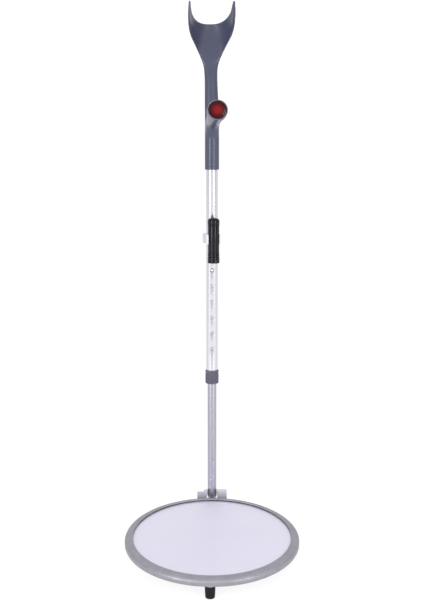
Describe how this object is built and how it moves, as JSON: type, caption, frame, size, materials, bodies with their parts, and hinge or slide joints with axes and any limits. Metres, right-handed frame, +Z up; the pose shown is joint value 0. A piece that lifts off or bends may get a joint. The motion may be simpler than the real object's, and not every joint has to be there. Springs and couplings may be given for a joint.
{
  "type": "under-vehicle search mirror",
  "caption": "Round convex search mirror on rubber feet, with a hinged telescopic pole, a crutch handle with forearm cuff and a clipped torch.",
  "frame": {"origin": "on the floor, under the middle of the object's overall box", "axes": "+Z up along the height; +Y towards the user, from the mirror to the pole; +X to the right across the mirror"},
  "size_m": [0.3286, 0.5478, 1.0023],
  "materials": {
    "rim_steel": "satin",
    "mirror": "polished",
    "pan_steel": "satin",
    "foam": "matte",
    "rubber": "matte",
    "zinc": "zinc plated",
    "bracket": "satin",
    "tube": "satin anodised",
    "nylon": "matte",
    "spring_steel": "satin",
    "collar": "matte",
    "handle": "satin moulded",
    "reflector_red": "gloss",
    "clip_white": "satin",
    "torch_black": "gloss black",
    "torch_clear": "clear",
    "reflector_chrome": "polished",
    "board_green": "matte",
    "led_yellow": "gloss",
    "cell_wrap": "wrapped cell"
  },
  "bodies": {
    "mirror_head": {"rim_bezel": "rim_steel", "mirror_pan": "pan_steel", "mirror_glass": "mirror", "mirror_seal": "rubber", "foam_pad": "foam", "front_foot": "rubber", "right_foot": "rubber", "rear_foot": "rubber", "left_foot": "rubber", "front_foot_plate": "bracket", "right_foot_plate": "bracket", "rear_foot_plate": "bracket", "left_foot_plate": "bracket", "front_foot_screw": "zinc", "right_foot_screw": "zinc", "rear_foot_screw": "zinc", "left_foot_screw": "zinc", "front_foot_nut": "zinc", "right_foot_nut": "zinc", "rear_foot_nut": "zinc", "left_foot_nut": "zinc", "left_rivet_1": "zinc", "left_rivet_2": "zinc", "right_rivet_1": "zinc", "right_rivet_2": "zinc", "left_bracket": "bracket", "right_bracket": "bracket", "pivot_bolt": "zinc", "left_side_washer": "nylon", "right_side_washer": "nylon", "nut_washer": "zinc"},
    "wing_nut": {"wing_nut": "zinc"},
    "lower_pole": {"lower_tube": "tube", "lower_end_plug": "nylon", "tube_glide": "nylon", "button_spring": "spring_steel"},
    "snap_button": {"snap_button": "spring_steel"},
    "upper_pole": {"upper_tube": "tube", "collar_bush": "nylon", "handle_body": "handle", "handle_pin": "zinc", "reflector_bezel": "handle", "reflector_lens": "reflector_red"},
    "collar": {"collar": "collar"},
    "clip": {"torch_clip": "clip_white", "clip_screw": "zinc"},
    "torch": {"torch_lens_ring": "torch_black", "torch_lens": "torch_clear", "torch_reflector": "reflector_chrome", "torch_led_board": "board_green", "torch_led": "led_yellow", "torch_head": "torch_black", "torch_barrel": "torch_black", "torch_o_ring": "rubber", "torch_tail_cap": "torch_black", "torch_cell": "cell_wrap", "torch_switch": "nylon", "torch_tail_spring": "spring_steel"},
    "torch_button": {"torch_button": "rubber"}
  },
  "joints": [
    {"name": "pole_tilt", "type": "hinge", "parent": "mirror_head", "child": "lower_pole", "pos_m": [0, 0.07049, 0.044], "axis": [1, 0, 0], "range_deg": [-55, 65]},
    {"name": "wing_nut_turn", "type": "hinge", "parent": "mirror_head", "child": "wing_nut", "pos_m": [0.018, 0.07049, 0.044], "axis": [1, 0, 0], "continuous": true},
    {"name": "telescope", "type": "slide", "parent": "lower_pole", "child": "upper_pole", "axis": [0, 0.1597, 0.9872], "range_m": [-0.0312, 0.156]},
    {"name": "snap_button_press", "type": "slide", "parent": "lower_pole", "child": "snap_button", "axis": [0, 0.9872, -0.1597], "range_m": [0, 0.0035], "stiffness_N_per_m": 2500, "springref_m": -0.001, "deforming": ["button_spring"]},
    {"name": "collar_turn", "type": "hinge", "parent": "upper_pole", "child": "collar", "pos_m": [0, 0.10858, 0.27944], "axis": [0, 0.1597, 0.9872], "range_deg": [0, 90]},
    {"name": "clip_turn", "type": "hinge", "parent": "upper_pole", "child": "clip", "pos_m": [0, 0.15277, 0.55259], "axis": [0, 0.1597, 0.9872], "continuous": true},
    {"name": "torch_slide", "type": "slide", "parent": "clip", "child": "torch", "axis": [0, 0.1597, 0.9872], "range_m": [-0.016, 0.016]},
    {"name": "torch_button_press", "type": "slide", "parent": "torch", "child": "torch_button", "axis": [0, -0.1597, -0.9872], "range_m": [0, 0.0015], "stiffness_N_per_m": 1200, "springref_m": -0.0005}
  ]
}
